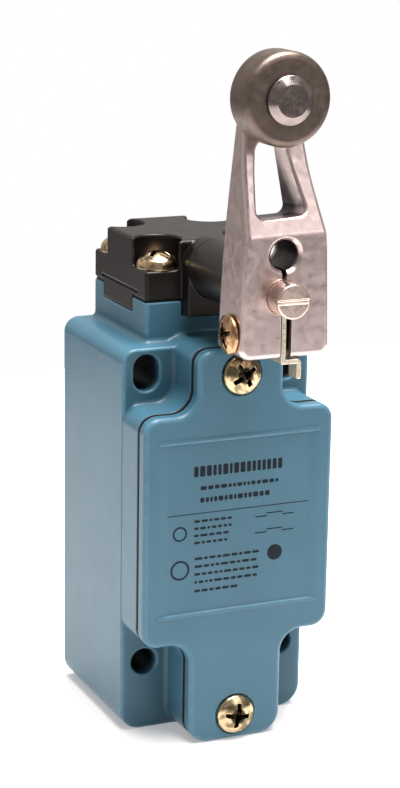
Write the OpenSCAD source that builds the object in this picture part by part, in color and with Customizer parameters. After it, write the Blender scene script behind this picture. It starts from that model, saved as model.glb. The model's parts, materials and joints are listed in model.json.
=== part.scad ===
// Side-rotary limit switch: die-cast housing, turret head, roller lever
// and a plug-in contact block. Millimetres, +Z up, front of the case
// towards -Y. The origin is the centre of the four mounting holes on the
// back mounting face.

/* [Housing] */
// Width of the housing
body_w = 40; // [39.5:0.1:41]
// Height of the shoulder above the origin
body_top = 34.3; // [34:0.1:35.5]
// Depth of the base below the origin
body_bot = 44.3; // [43.8:0.1:45.5]
// Depth from the mounting face to the recessed hole faces
shelf_d = 32.7; // [32:0.1:34]
// Depth from the mounting face to the rim that carries the cover
rim_d = 40.4; // [39.8:0.1:41]
// Horizontal spacing of the mounting holes
hole_dx = 30; // [29.8:0.1:30.2]
// Distance of the lower round holes below the origin
hole_low = 30; // [29.8:0.1:30.2]
// Height of the upper slot centres above the origin
slot_high = 29.4; // [29:0.1:29.6]
// Diameter of the mounting holes
hole_d = 5.3; // [5.2:0.1:5.5]
// End-to-end length of the upper slots
slot_len = 7.3; // [6.8:0.1:7.4]
// Minor diameter of the conduit thread
conduit_d = 18.38; // [17.8:0.01:18.6]
// Distance of the conduit axis from the mounting face
conduit_y = 17; // [16:0.5:18]
// Thickness of the outer walls
wall = 3; // [2.8:0.1:3.2]

/* [Cover] */
// Thickness of the cover gasket
gasket_t = 1; // [0.8:0.1:1.2]
// Thickness of the front cover
cover_t = 2.8; // [2.6:0.1:3.2]
// Half width of the upper screw ear
ear_top_w = 9; // [8.6:0.1:9.4]
// Half width of the lower screw ear
ear_bot_w = 9.9; // [9.5:0.1:10.3]
// Height of the upper cover screw
screw_top_z = 30.6; // [30.2:0.1:31]
// Depth of the lower cover screw below the origin
screw_bot_z = 39.1; // [38.7:0.1:39.4]
// Depth of the shallow label field
panel_depth = 0.3; // [0.2:0.05:0.5]

/* [Head] */
// Width and depth of the square neck and head
head_w = 27.5; // [27.2:0.1:28]
// Distance of the head centre from the mounting face
head_y = 15; // [14.8:0.1:15.2]
// Height of the top of the neck
neck_z = 42.3; // [42:0.1:42.6]
// Height of the flat top of the head
head_top = 54.2; // [54:0.1:55]
// Height of the corner notch floors
notch_z = 48.4; // [48:0.1:49]
// Half spacing of the four head screws
screw_s = 9.6; // [9.5:0.1:9.7]
// Depth of the orientation tongues below the head
tongue_h = 3.3; // [2.8:0.1:3.6]
// Radius of the shaft snout
snout_r = 6; // [5.9:0.1:6.2]

/* [Shaft] */
// Height of the shaft axis
shaft_z = 48.9; // [48.7:0.1:49]
// Diameter of the shaft in the snout and the lever
shaft_d = 6.5; // [6.4:0.1:6.6]
// Distance of the shaft's front end from the mounting face
shaft_front = 65.6; // [65:0.1:66]
// Radial running clearance of the shaft in its bushes
run_c = 0.03; // [0.02:0.01:0.08]

/* [Lever] */
// Distance of the lever's rear face from the mounting face
lever_back = 50.4; // [50.3:0.1:50.6]
// Distance of the clamp block's front face from the mounting face
lever_front = 61; // [60.8:0.1:61.4]
// Distance of the clamp block's left side from the shaft axis
lever_hw = 8.35; // [8.2:0.05:8.5]
// Distance of the clamp block's right side from the shaft axis
lever_rw = 9.7; // [9.5:0.1:9.9]
// Height of the bottom of the clamp block
lever_bot = 37.4; // [37.2:0.1:37.7]
// Height of the ledge where the arm starts
lever_ledge = 60.1; // [59.9:0.1:60.5]
// Distance from the shaft axis to the roller axis
lever_r = 35.85; // [35.6:0.05:36.2]

/* [Roller] */
// Diameter of the roller
roller_d = 17.3; // [17:0.1:17.8]
// Width of the roller
roller_w = 7; // [6.6:0.1:7.1]
// Diameter of the pin head
pin_head_d = 9; // [8.6:0.1:9.2]

/* [Switch block] */
// Travel of the plunger and the contact carriage
travel = 2.2; // [2:0.1:2.2]
// Wire diameter of the return spring
ret_wire = 0.9; // [0.8:0.05:0.9]

/* [Hidden] */
$fn = 64;
hw = body_w / 2;
cover_y = rim_d + gasket_t;
front_y = cover_y + cover_t;
hh = head_w / 2;
tongue_z = neck_z + 0.5 - tongue_h;
head_bot = neck_z + 0.5;
roller_z = shaft_z + lever_r;
roller_back = 54.6;
roller_front = roller_back + roller_w;
sr = shaft_d / 2;
blk_b = 5;          // back of the contact block
blk_f = 21;         // front of the contact block
nc_z = 9;           // underside of the upper fixed contact bars
no_z = -6.2;        // underside of the lower fixed contact bars

// ---------- helpers ----------

// Extrudes a plan drawn in X and Z from depth a to depth b behind the front.
module slab(a, b) translate([0, -a, 0]) rotate([90, 0, 0]) linear_extrude(b - a) children();
// Round bar along Y from depth a to depth b.
module ybar(a, b, r) slab(a, b) circle(r);
// Round bar along X from x = a to x = b.
module xbar(a, b, r) translate([a, 0, 0]) rotate([0, 90, 0]) cylinder(h = b - a, r = r);
// Rectangle with round corners, by its limits.
module rrect(x0, x1, y0, y1, r) {
  translate([x0 + r, y0]) square([x1 - x0 - 2 * r, y1 - y0]);
  translate([x0, y0 + r]) square([x1 - x0, y1 - y0 - 2 * r]);
  for (x = [x0 + r, x1 - r], y = [y0 + r, y1 - r]) translate([x, y]) circle(r);
}
// Fillet in an inside corner; s gives the quadrant that it fills.
module fillet2d(r, sx, sy) difference() {
  translate([sx > 0 ? 0 : -r, sy > 0 ? 0 : -r]) square(r);
  translate([sx * r, sy * r]) circle(r);
}
// Outline of the cover, drawn i inside its full size.
module cover_outline(i, w) {
  rrect(-w + i, w - i, -23 + i, 23.2 - i, 3.3 - i);
  rrect(-ear_top_w + i, ear_top_w - i, 0, 35.5 - i, 2.9 - i);
  rrect(-ear_bot_w + i, ear_bot_w - i, -body_bot + i, 0, 4.4 - i);
  for (s = [-1, 1]) {
    translate([s * (ear_top_w - i), 23.2 - i]) fillet2d(4.5 + i, s, 1);
    translate([s * (ear_bot_w - i), -23 + i]) fillet2d(4.5 + i, s, -1);
  }
}
// Compression coil of round wire standing on z = 0, with closed ends.
module coil(len, r, d, n, spt = 16, k = 8) {
  steps = n * spt;
  rise = 1.06 * d;
  zmid = len - d - 2 * rise;
  function zz(t) = t < 1 ? d / 2 + rise * t : t > n - 1 ? len - d / 2 - rise * (n - t)
    : d / 2 + rise + zmid * (t - 1) / (n - 2);
  pts = [for (i = [0:steps]) let (a = 360 * i / spt, z = zz(i / spt))
    for (j = [0:k - 1]) let (b = 360 * j / k)
      [(r + d / 2 * cos(b)) * cos(a), (r + d / 2 * cos(b)) * sin(a), z + d / 2 * sin(b)]];
  faces = concat(
    [[for (j = [0:k - 1]) j]],
    [for (i = [0:steps - 1], j = [0:k - 1])
      [i * k + j, (i + 1) * k + j, (i + 1) * k + (j + 1) % k, i * k + (j + 1) % k]],
    [[for (j = [k - 1:-1:0]) steps * k + j]]);
  polyhedron(points = pts, faces = faces, convexity = 8);
}
// Pan-head screw with a cross recess; the seat is at z = 0, the shank below.
module pan_screw(hr, h, r, l, cross = true) {
  difference() {
    union() {
      rotate_extrude() polygon([[0, 0], [hr, 0], [hr, 0.42 * h], [0.93 * hr, 0.7 * h],
        [0.74 * hr, 0.9 * h], [0.45 * hr, h], [0, h]]);
      translate([0, 0, -l]) cylinder(h = l + 0.01, r = r);
    }
    if (cross) for (a = [0, 90]) rotate([0, 0, a + 20])
      translate([-0.62 * hr, -0.14 * hr, 0.38 * h]) cube([1.24 * hr, 0.28 * hr, h]);
    else translate([-hr - 1, -0.13 * hr, 0.5 * h]) cube([2 * hr + 2, 0.26 * hr, h]);
  }
}
// Places a screw drawn along Z so that its head faces the front.
module face_front(x, depth, z, turn = 0) translate([x, -depth, z]) rotate([90, 0, 0]) rotate([0, 0, turn]) children();
// Width limits of a head tongue, grown by c; the left one is wider than the others.
function tongue_x0(a, c) = (a == 270 ? -8.7 : a == 0 ? -6 : -5.2) - c;
function tongue_x1(a, c) = (a == 270 ? 6.8 : a == 0 ? 6 : 5.2) + c;
module tongue_box(a, z, h, out, c) translate([tongue_x0(a, c), -hh - out, z])
  cube([tongue_x1(a, c) - tongue_x0(a, c), 1.6 + c + out, h]);
// Centres of the four head screws.
module head_corners() for (x = [-1, 1], y = [-1, 1]) translate([x * screw_s, -head_y + y * screw_s, 0]) children();

// ---------- housing ----------

module housing() color([0.37, 0.53, 0.62]) difference() {
  union() {
    slab(0, shelf_d) {
      rrect(-hw, hw, -10, body_top, 3);
      rrect(-hw, hw, -body_bot, 0, 4.5);
    }
    slab(shelf_d - 1, rim_d) cover_outline(0, hw - 0.1);
    // square neck that carries the head
    translate([0, -head_y, 30]) linear_extrude(neck_z - 30) rrect(-hh, hh, -hh, hh, 0.8);
  }
  // contact chamber, open to the front
  slab(wall, 50) rrect(-hw + wall, hw - wall, -20.4, 20.2, 2);
  // chamber under the neck
  slab(wall, 29.4) rrect(-7.4, 7.4, 15, 31, 2);
  // wiring throat above the conduit entry
  slab(wall + 2, 29.8) rrect(-9.3, 9.3, -32.5, -15, 1);
  translate([0, -conduit_y, -body_bot - 1]) cylinder(h = 14, d = conduit_d, $fn = 96);
  // countersunk lip of the conduit entry
  translate([0, -conduit_y, -body_bot - 0.01]) cylinder(h = 0.8, r1 = conduit_d / 2 + 0.8, r2 = conduit_d / 2, $fn = 96);
  // neck bore and the seat of the plunger guide
  translate([0, -head_y, body_top]) cylinder(h = 20, r = 9);
  translate([0, -head_y, 29]) cylinder(h = 10, r = 6);
  // lower round holes and upper slots, right through
  for (s = [-1, 1]) {
    translate([s * hole_dx / 2, 0, -hole_low]) ybar(-1, shelf_d + 1, hole_d / 2);
    translate([s * hole_dx / 2, 0, slot_high]) slab(-1, shelf_d + 1)
      rrect(-hole_d / 2, hole_d / 2, -slot_len / 2, slot_len / 2, hole_d / 2 - 0.001);
  }
  // tapped holes of the head screws and the cover screws
  head_corners() translate([0, 0, 35.2]) cylinder(h = 10, r = 2);
  translate([0, 0, screw_top_z]) ybar(31, rim_d + 1, 2);
  translate([0, 0, -screw_bot_z]) ybar(31.6, rim_d + 1, 2);
  // recesses for the head's four tongues
  for (a = [0:90:270]) translate([0, -head_y, 0]) rotate([0, 0, a])
    tongue_box(a, tongue_z - 0.1, 6, 1, 0.1);
  // blind holes of the block screws and the ground screw
  for (s = [-1, 1]) translate([s * 12, 0, 2]) ybar(1, 6, 1.5);
  translate([-11.5, 0, -17]) ybar(1, 6, 2);
}

// ---------- cover ----------

module front_cover() color([0.37, 0.53, 0.62]) difference() {
  union() {
    difference() {
      slab(cover_y, front_y) cover_outline(0, hw);
      // label field, a little below the face
      slab(front_y - panel_depth, front_y + 1) rrect(-16.9, 16.9, -17, 18.3, 1);
    }
    // two low ribs that close the label field above and below
    for (z = [18.3, -17.0]) slab(front_y - panel_depth - 0.5, front_y + 0.15)
      rrect(-16.6, 16.6, z - 0.45, z + 0.45, 0.44);
    // locating lip inside the rim
    slab(rim_d - 0.9, cover_y + 0.5) difference() {
      rrect(-hw + wall + 0.35, hw - wall - 0.35, -20.05, 19.85, 2);
      rrect(-hw + wall + 1.9, hw - wall - 1.9, -18.5, 18.3, 1);
    }
  }
  // hollow behind the face
  slab(cover_y - 3, cover_y + 1.1) rrect(-hw + wall + 1.9, hw - wall - 1.9, -18.5, 18.3, 1);
  // screw holes with flat seats
  for (z = [screw_top_z, -screw_bot_z]) translate([0, 0, z]) {
    ybar(cover_y - 1, front_y + 1, 2.2);
    ybar(front_y - 0.4, front_y + 1, 4.25);
  }
}
module cover_gasket() color([0.12, 0.12, 0.12]) difference() {
  slab(rim_d, cover_y) cover_outline(0.03, hw - 0.1);
  slab(rim_d - 1, cover_y + 1) rrect(-hw + wall + 0.1, hw - wall - 0.1, -20.3, 20.1, 2);
  for (z = [screw_top_z, -screw_bot_z]) translate([0, 0, z]) ybar(rim_d - 1, cover_y + 1, 2.3);
}
module cover_screws() color([0.80, 0.66, 0.36]) {
  face_front(0, front_y - 0.4, screw_top_z, 12) pan_screw(4, 2.2, 1.97, 11.4);
  face_front(0, front_y - 0.4, -screw_bot_z, -28) pan_screw(4, 2.2, 1.97, 11.4);
}

// ---------- head ----------

module head_body() color([0.13, 0.13, 0.13]) difference() {
  union() {
    translate([0, -head_y, head_bot]) linear_extrude(head_top - head_bot) rrect(-hh, hh, -hh, hh, 0.8);
    // tongues that set the head in one of four positions
    for (a = [0:90:270]) translate([0, -head_y, 0]) rotate([0, 0, a])
      tongue_box(a, tongue_z, 4, 0, 0);
    // arched boss on the front
    slab(head_y + hh - 1, 32) union() {
      translate([0, shaft_z]) circle(snout_r);
      translate([-snout_r, tongue_z]) square([2 * snout_r, shaft_z - tongue_z]);
    }
    // round snout over the cover
    translate([0, 0, shaft_z]) ybar(30, 48.8, snout_r);
  }
  // corner notches
  head_corners() translate([0, 0, notch_z]) cylinder(h = 10, r = 4.75);
  for (a = [0:90:270]) translate([0, -head_y, notch_z]) rotate([0, 0, a])
    translate([screw_s, screw_s, 0]) cube([10, 10, 10]);
  // cam chamber, narrower between the corner notches
  translate([0, -head_y, 30]) cylinder(h = 17.3, r = 9);
  translate([0, -head_y, 47.2]) cylinder(h = 5.8, r = 7.6);
  // clearance holes of the screws
  head_corners() translate([0, 0, 30]) cylinder(h = 30, r = 2.2);
  // bush seats and the seal seat
  translate([0, 0, shaft_z]) { ybar(20, 50, 4.3); ybar(2.4, 12, 3.6); ybar(46.2, 50, 5); }
}
module head_gasket() color([0.10, 0.10, 0.10]) difference() {
  translate([0, -head_y, neck_z]) linear_extrude(0.5) rrect(-13.5, 13.5, -13.5, 13.5, 0.7);
  translate([0, -head_y, neck_z - 1]) cylinder(h = 3, r = 9.3);
  head_corners() translate([0, 0, neck_z - 1]) cylinder(h = 3, r = 2.15);
  // clear of the tongues
  for (a = [0:90:270]) translate([0, -head_y, neck_z - 1]) rotate([0, 0, a])
    tongue_box(a, 0, 3, 1, 0.2);
}
module head_screws() color([0.80, 0.66, 0.36]) head_corners()
  translate([0, 0, notch_z]) pan_screw(4.1, 3.4, 1.97, 12.2);
module front_bush() color([0.68, 0.52, 0.30]) translate([0, 0, shaft_z]) difference() {
  ybar(24.3, 46.1, 4.28);
  ybar(20, 50, sr + run_c);
}
module rear_bush() color([0.68, 0.52, 0.30]) translate([0, 0, shaft_z]) difference() {
  ybar(2.45, 6.6, 3.58);
  ybar(1, 8, 2.25 + run_c);
}
module shaft_seal() color([0.08, 0.08, 0.08]) translate([0, 0, shaft_z]) rotate([90, 0, 0]) rotate_extrude()
  polygon([[4.95, 46.3], [4.95, 48.7], [3.31, 48.7], [3.31, 48.2], [3.9, 47.6], [3.9, 46.9], [4.2, 46.3]]);

// ---------- shaft group ----------

module rotary_shaft() color([0.62, 0.60, 0.58]) translate([0, 0, shaft_z]) difference() {
  union() {
    ybar(21, shaft_front - 0.3, sr);
    translate([0, -(shaft_front - 0.3), 0]) rotate([90, 0, 0]) cylinder(h = 0.3, r1 = sr, r2 = sr - 0.3);
    ybar(3, 21.2, 2.25);
  }
  // driver slot across the front end
  translate([-5, -shaft_front - 1, -0.4]) cube([10, 1.35, 0.8]);
  // groove of the retaining ring
  difference() { ybar(22.4, 23.2, 6); ybar(22, 24, 2.6); }
  // cross hole of the cam pin
  translate([0, -head_y, 0]) xbar(-6, 6, 0.77);
}
module cam() color([0.55, 0.55, 0.56]) translate([0, 0, shaft_z]) difference() {
  slab(12, 18) union() {
    circle(3.6);
    translate([-4.2, -3]) square([8.4, 2]);
  }
  ybar(10, 20, 2.27);
  translate([0, -head_y, 0]) xbar(-6, 6, 0.77);
}
module cam_pin() color([0.70, 0.70, 0.70]) translate([0, -head_y, shaft_z]) xbar(-3.45, 3.45, 0.75);
module retaining_ring() color([0.35, 0.35, 0.37]) translate([0, 0, shaft_z]) difference() {
  slab(22.45, 23.15) difference() {
    circle(4.1);
    circle(2.63);
    translate([-2.3, -8]) square([4.6, 8]);
  }
}
module thrust_washer() color([0.72, 0.72, 0.72]) translate([0, 0, shaft_z]) difference() {
  ybar(23.3, 24.2, 4.15);
  ybar(20, 30, sr + 0.04);
}

// ---------- plunger group ----------

module follower() color([0.60, 0.60, 0.62]) translate([0, -head_y, 0]) difference() {
  union() {
    translate([0, 0, 42]) cylinder(h = 1.3, r = 6.5);
    translate([0, 0, 39.8]) cylinder(h = 2.4, r = 3.6);
  }
  translate([0, 0, 30]) cylinder(h = 12, r = 2.02);
}
module plunger_rod() color([0.70, 0.70, 0.72]) translate([0, -head_y, 0]) {
  translate([0, 0, 21.6]) cylinder(h = 39.8 - 21.6, r = 2.5);
  translate([0, 0, 39.7]) cylinder(h = 2.25, r = 2);
}
module plunger_guide() color([0.68, 0.52, 0.30]) translate([0, -head_y, 0]) difference() {
  union() {
    translate([0, 0, body_top]) cylinder(h = 0.9, r = 8.7);
    translate([0, 0, 30.9]) cylinder(h = 3.6, r = 5.95);
  }
  translate([0, 0, 20]) cylinder(h = 20, r = 2.5 + run_c);
}
module plunger_seal() color([0.08, 0.08, 0.08]) translate([0, -head_y, body_top + 0.9]) rotate_extrude()
  polygon([[2.56, 1.5], [2.56, 1.9], [3, 2], [4.2, 2], [4.2, 0], [3, 0], [3, 0.9]]);
module return_spring() color([0.62, 0.62, 0.64]) translate([0, -head_y, body_top + 0.9])
  coil(42 - body_top - 0.9, 5.2, ret_wire, 4.5);

// ---------- lever ----------

module lever_arm() color([0.66, 0.60, 0.58]) difference() {
  intersection() {
    // side profile: clamp block, ledge and an arm that thins towards its top
    translate([-20, 0, 0]) rotate([90, 0, 90]) linear_extrude(40) polygon([
      [-lever_front, lever_bot], [-lever_front, lever_ledge], [-54.2, 76.4], [-54.2, 100],
      [-lever_back, 100], [-lever_back, lever_bot]]);
    // front profile: block with a drafted right side, tapered arm and round boss
    slab(40, 70) union() {
      rrect(-lever_hw, lever_rw, lever_bot, lever_bot + 4.8, 2.3);
      polygon([[-lever_hw, lever_bot + 2.3], [lever_rw, lever_bot + 2.3], [lever_rw - 0.7, lever_ledge],
        [6.15, 74.2], [5.8, 77], [5.8, roller_z], [-6.5, roller_z], [-6.9, 78], [-7.95, 71.6], [-lever_hw, 60]]);
      translate([0, roller_z]) circle(6.6);
    }
  }
  // window in the arm
  slab(40, 70) union() {
    polygon([[-4.738, 64.635], [-3.25, 62.95], [3.1, 62.95], [4.571, 64.742], [2.421, 75.592], [0.95, 76.8], [-1.9, 76.8], [-3.388, 75.485]]);
    for (p = [[-3.25, 64.45], [3.1, 64.45], [-1.9, 75.3], [0.95, 75.3]]) translate(p) circle(1.5);
  }
  // shaft bore, relief hole and slit
  translate([0, 0, shaft_z]) ybar(40, 70, sr + 0.02);
  translate([0.35, 0, 56.6]) ybar(40, 70, 2.75);
  translate([0.35, -lever_front - 0.01, 56.6]) rotate([-90, 0, 0]) cylinder(h = 0.8, r1 = 3.5, r2 = 2.7);
  translate([-0.2, -70, shaft_z]) cube([0.9, 30, 8]);
  translate([-0.15, -70, lever_bot - 2]) cube([2.05, 30, shaft_z - lever_bot + 2]);
  // clamp screw: clearance hole and tapped hole
  translate([0, -56.3, 41.6]) { xbar(-12, 0, 2.2); xbar(0, 12, 2); }
  // hole of the roller pin
  translate([0, 0, roller_z]) ybar(40, 70, 2.27);
}
module clamp_screw() color([0.80, 0.62, 0.36]) translate([-lever_hw, -56.3, 41.6])
  rotate([0, -90, 0]) rotate([0, 0, 25]) pan_screw(3.8, 1.6, 1.97, 15.8);
// Bent sheet tab that sits in the slit and folds under the right jaw.
module clamp_plate() color([0.78, 0.74, 0.66]) difference() {
  union() {
    translate([-0.05, -60.9, 36.2]) cube([1, 9.8, 9.2]);
    translate([-0.05, -60.9, 36.2]) cube([4.2, 3.5, 0.9]);
    translate([3.25, -60.9, 33.3]) cube([0.9, 3.5, 3.8]);
  }
  translate([0, -56.3, 41.6]) xbar(-2, 2, 2.15);
}

// ---------- roller ----------

module roller() color([0.34, 0.29, 0.26]) translate([0, 0, roller_z]) rotate([90, 0, 0]) rotate_extrude($fn = 96)
  polygon([[3.05, roller_back], [roller_d / 2 - 0.4, roller_back], [roller_d / 2, roller_back + 0.4],
    [roller_d / 2, roller_front - 0.4], [roller_d / 2 - 0.4, roller_front], [3.05, roller_front]]);
module roller_bush() color([0.68, 0.52, 0.30]) translate([0, 0, roller_z]) difference() {
  ybar(54.25, roller_front + 0.15, 3);
  ybar(50, 70, 2.27);
}
module roller_pin() color([0.60, 0.57, 0.55]) translate([0, 0, roller_z]) rotate([90, 0, 0]) rotate_extrude()
  polygon([[0, 49.9], [2.9, 49.9], [3.2, 50.35], [2.25, 50.39], [2.25, roller_front + 0.17],
    [pin_head_d / 2, roller_front + 0.17], [pin_head_d / 2, roller_front + 0.5],
    [pin_head_d / 2 - 1.5, roller_front + 1.6], [0, roller_front + 1.6]]);

// ---------- contact block ----------

// One terminal: contact bar inside the block and a pad at the front.
module terminal(s, z0, up, c) {
  x0 = s > 0 ? 4.8 : -14.5;
  pz = up ? z0 : z0 - 5.8;
  translate([x0 - c, -20.2 - c, z0 - c]) cube([9.7 + 2 * c, 8.2 + 2 * c, 1.2 + 2 * c]);
  translate([s > 0 ? 9 - c : -14.5 - c, -blk_f - c, pz - c]) cube([5.5 + 2 * c, 1.2 + 2 * c, 7 + 2 * c]);
}
module switch_base() color([0.16, 0.16, 0.17]) difference() {
  slab(blk_b, blk_f) rrect(-15, 15, -13, 18, 1);
  slab(8, 30) rrect(-8.4, 8.4, -10.5, 14.6, 0.6);
  for (s = [-1, 1]) {
    terminal(s, nc_z, true, 0.04);
    terminal(s, no_z, false, 0.04);
    translate([s * 11.75, 0, nc_z + 4.2]) ybar(10, 30, 1.75);
    translate([s * 11.75, 0, no_z - 2.6]) ybar(10, 30, 1.75);
    translate([s * 12, 0, 2]) { ybar(0, 30, 1.6); ybar(18.6, 30, 3); }
  }
  translate([0, -head_y, 10]) cylinder(h = 20, r = 2.3);
  translate([0, -head_y, -20]) cylinder(h = 20, r = 1.56);
}
module switch_cover() color([0.20, 0.20, 0.22]) union() {
  slab(blk_f, blk_f + 1.4) rrect(-8.5, 8.5, -12.5, 17.5, 1);
  // two barrier ribs between the contact pairs
  for (z = [-1, 4]) slab(blk_f, blk_f + 2.6) translate([-8.2, z]) square([16.4, 1]);
}
module contact_carriage() color([0.82, 0.80, 0.74]) translate([0, -head_y, 0]) difference() {
  union() {
    translate([-3, -3, -4.5]) cube([6, 6, 18]);
    translate([0, 0, 13.4]) cylinder(h = 8.1, r = 2);
    translate([0, 0, -10.3]) cylinder(h = 6, r = 1.5);
  }
  translate([-5, -2, 4.6]) cube([10, 4, 3.1]);
  translate([-5, -2, -1.3]) cube([10, 4, 4]);
}
module carriage_spring() color([0.62, 0.62, 0.64]) translate([0, -head_y, -10.5]) coil(6, 2.4, 0.55, 4.5, 14);
module bridge(z0, tip_z) translate([0, -head_y, 0]) {
  translate([-7.6, -1.8, z0]) cube([15.2, 3.6, 0.8]);
  for (s = [-1, 1]) translate([s * 6.2, 0, tip_z]) cylinder(h = 0.62, r = 1.1);
}
module nc_bridge() color([0.80, 0.62, 0.32]) bridge(6.9, 7.68);
module no_bridge() color([0.80, 0.62, 0.32]) bridge(-1.3, -1.9);
module bridge_springs() color([0.62, 0.62, 0.64]) translate([0, -head_y, 0]) {
  translate([0, 0, 4.6]) coil(2.3, 1.4, 0.3, 4, 12, 6);
  translate([0, 0, -0.5]) coil(3.2, 1.4, 0.3, 4, 12, 6);
}
module nc_terminals() color([0.78, 0.64, 0.36]) for (s = [-1, 1]) difference() {
  terminal(s, nc_z, true, 0);
  translate([s * 11.75, 0, nc_z + 4.2]) ybar(10, 30, 1.5);
}
module no_terminals() color([0.78, 0.64, 0.36]) for (s = [-1, 1]) difference() {
  terminal(s, no_z, false, 0);
  translate([s * 11.75, 0, no_z - 2.6]) ybar(10, 30, 1.5);
}
module fixed_tips() color([0.86, 0.86, 0.88]) for (s = [-1, 1]) translate([s * 6.2, -head_y, 0]) {
  translate([0, 0, nc_z - 0.6]) cylinder(h = 0.6, r = 1.1);
  translate([0, 0, no_z + 1.2]) cylinder(h = 0.6, r = 1.1);
}
module terminal_screws() color([0.72, 0.70, 0.66]) for (s = [-1, 1], z = [nc_z + 4.2, no_z - 2.6])
  face_front(s * 11.75, blk_f + 0.85, z, 10 * s) pan_screw(2.6, 1.8, 1.47, 7);
module wire_clamps() color([0.76, 0.70, 0.56]) for (s = [-1, 1], z = [nc_z + 4.2, no_z - 2.6])
  translate([s * 11.75, 0, z]) difference() {
    slab(blk_f + 0.03, blk_f + 0.83) rrect(-2.7, 2.7, -2.7, 2.7, 0.4);
    ybar(20, 30, 1.55);
  }
module block_screws() color([0.72, 0.70, 0.66]) for (s = [-1, 1])
  face_front(s * 12, 18.6, 2, 30 * s) pan_screw(2.7, 1.9, 1.47, 16.6);
module ground_screw() color([0.30, 0.52, 0.32]) face_front(-11.5, 4.1, -17, 20) pan_screw(3, 1.9, 1.97, 2.9);
module ground_clamp() color([0.80, 0.66, 0.36]) translate([-11.5, 0, -17]) difference() {
  ybar(wall, 4.05, 3.3);
  ybar(0, 10, 2.05);
}

housing();
front_cover();
cover_gasket();
cover_screws();
head_body();
head_gasket();
head_screws();
front_bush();
rear_bush();
shaft_seal();
rotary_shaft();
cam();
cam_pin();
retaining_ring();
thrust_washer();
follower();
plunger_rod();
plunger_guide();
plunger_seal();
return_spring();
lever_arm();
clamp_screw();
clamp_plate();
roller();
roller_bush();
roller_pin();
switch_base();
switch_cover();
contact_carriage();
carriage_spring();
nc_bridge();
no_bridge();
bridge_springs();
nc_terminals();
no_terminals();
fixed_tips();
terminal_screws();
wire_clamps();
block_screws();
ground_screw();
ground_clamp();
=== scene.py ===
# Looks of the side-rotary limit switch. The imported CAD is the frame; castings,
# turned parts, screws and springs are rebuilt here as clean meshes in its place.
# Shapes are written in millimetres as distance fields: x to the right,
# d is the depth from the mounting face (d = -Y), z is up.
import math
import json

import numpy as np
import bpy
from mathutils import Matrix, Vector

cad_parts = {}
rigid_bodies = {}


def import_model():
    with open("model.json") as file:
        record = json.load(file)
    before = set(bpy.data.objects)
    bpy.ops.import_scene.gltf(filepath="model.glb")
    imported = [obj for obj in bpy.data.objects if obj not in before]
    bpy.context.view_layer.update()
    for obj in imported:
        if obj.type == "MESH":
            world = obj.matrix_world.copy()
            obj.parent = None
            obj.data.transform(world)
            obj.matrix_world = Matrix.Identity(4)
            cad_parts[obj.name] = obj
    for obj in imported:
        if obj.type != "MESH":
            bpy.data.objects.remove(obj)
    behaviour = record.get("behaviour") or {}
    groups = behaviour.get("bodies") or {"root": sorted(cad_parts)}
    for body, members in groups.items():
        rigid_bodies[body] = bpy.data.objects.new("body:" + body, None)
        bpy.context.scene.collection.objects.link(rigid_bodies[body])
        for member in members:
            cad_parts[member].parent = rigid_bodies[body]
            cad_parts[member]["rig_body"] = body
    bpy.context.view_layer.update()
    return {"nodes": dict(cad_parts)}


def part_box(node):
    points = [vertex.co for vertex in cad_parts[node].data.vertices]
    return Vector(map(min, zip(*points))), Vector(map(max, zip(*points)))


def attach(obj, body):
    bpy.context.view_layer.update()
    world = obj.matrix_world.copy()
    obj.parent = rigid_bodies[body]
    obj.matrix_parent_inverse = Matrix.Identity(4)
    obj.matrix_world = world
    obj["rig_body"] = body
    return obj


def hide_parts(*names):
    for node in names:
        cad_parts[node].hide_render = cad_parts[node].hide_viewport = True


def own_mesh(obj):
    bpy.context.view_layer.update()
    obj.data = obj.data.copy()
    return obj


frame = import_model()
NODES = frame["nodes"]
COARSE = 1.0

# ------------------------------------------------------------------ camera

AZ, EL, ROLL = math.radians(24.07), math.radians(14.38), math.radians(-0.92)
back = Vector((-math.sin(AZ) * math.cos(EL), -math.cos(AZ) * math.cos(EL), math.sin(EL)))
right = Vector((math.cos(AZ), -math.sin(AZ), 0.0))
up = back.cross(right)
right, up = (
    math.cos(ROLL) * right - math.sin(ROLL) * up,
    math.sin(ROLL) * right + math.cos(ROLL) * up,
)
cam_data = bpy.data.cameras.new("camera")
cam_data.sensor_fit = "AUTO"
cam_data.sensor_width = 36.0
cam_data.lens = 2118.0 / 788.0 * 36.0
cam_data.clip_start, cam_data.clip_end = 0.02, 20.0
cam = bpy.data.objects.new("camera", cam_data)
bpy.context.scene.collection.objects.link(cam)
m = Matrix.Identity(4)
for row in range(3):
    m[row][0], m[row][1], m[row][2] = right[row], up[row], back[row]
m[0][3], m[1][3], m[2][3] = -0.1677, -0.4000, 0.1274
cam.matrix_world = m
bpy.context.scene.camera = cam

# ------------------------------------------------------------------ distance fields


def ri(a, b, r=0.0):
    """Common part of two fields, its edge rounded to r."""
    if r <= 0:
        return np.maximum(a, b)
    return np.minimum(-r, np.maximum(a, b)) + np.hypot(
        np.maximum(r + a, 0), np.maximum(r + b, 0)
    )


def ru(a, b, r):
    """Union of two fields with a fillet of radius r where they meet."""
    return np.maximum(r, np.minimum(a, b)) - np.hypot(
        np.maximum(r - a, 0), np.maximum(r - b, 0)
    )


def rs(a, b, r=0.0):
    """a without b, the new edge rounded to r."""
    return ri(a, -b, r)


def rr(u, v, u0, u1, v0, v1, r):
    """Rectangle with round corners, by its limits."""
    qu = np.abs(u - (u0 + u1) / 2) - ((u1 - u0) / 2 - r)
    qv = np.abs(v - (v0 + v1) / 2) - ((v1 - v0) / 2 - r)
    return np.minimum(np.maximum(qu, qv), 0) + np.hypot(np.maximum(qu, 0), np.maximum(qv, 0)) - r


def seg(t, a, b):
    """Slab between a and b."""
    return np.abs(t - (a + b) / 2) - (b - a) / 2


def disc(u, v, r, cu=0.0, cv=0.0):
    return np.hypot(u - cu, v - cv) - r


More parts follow.
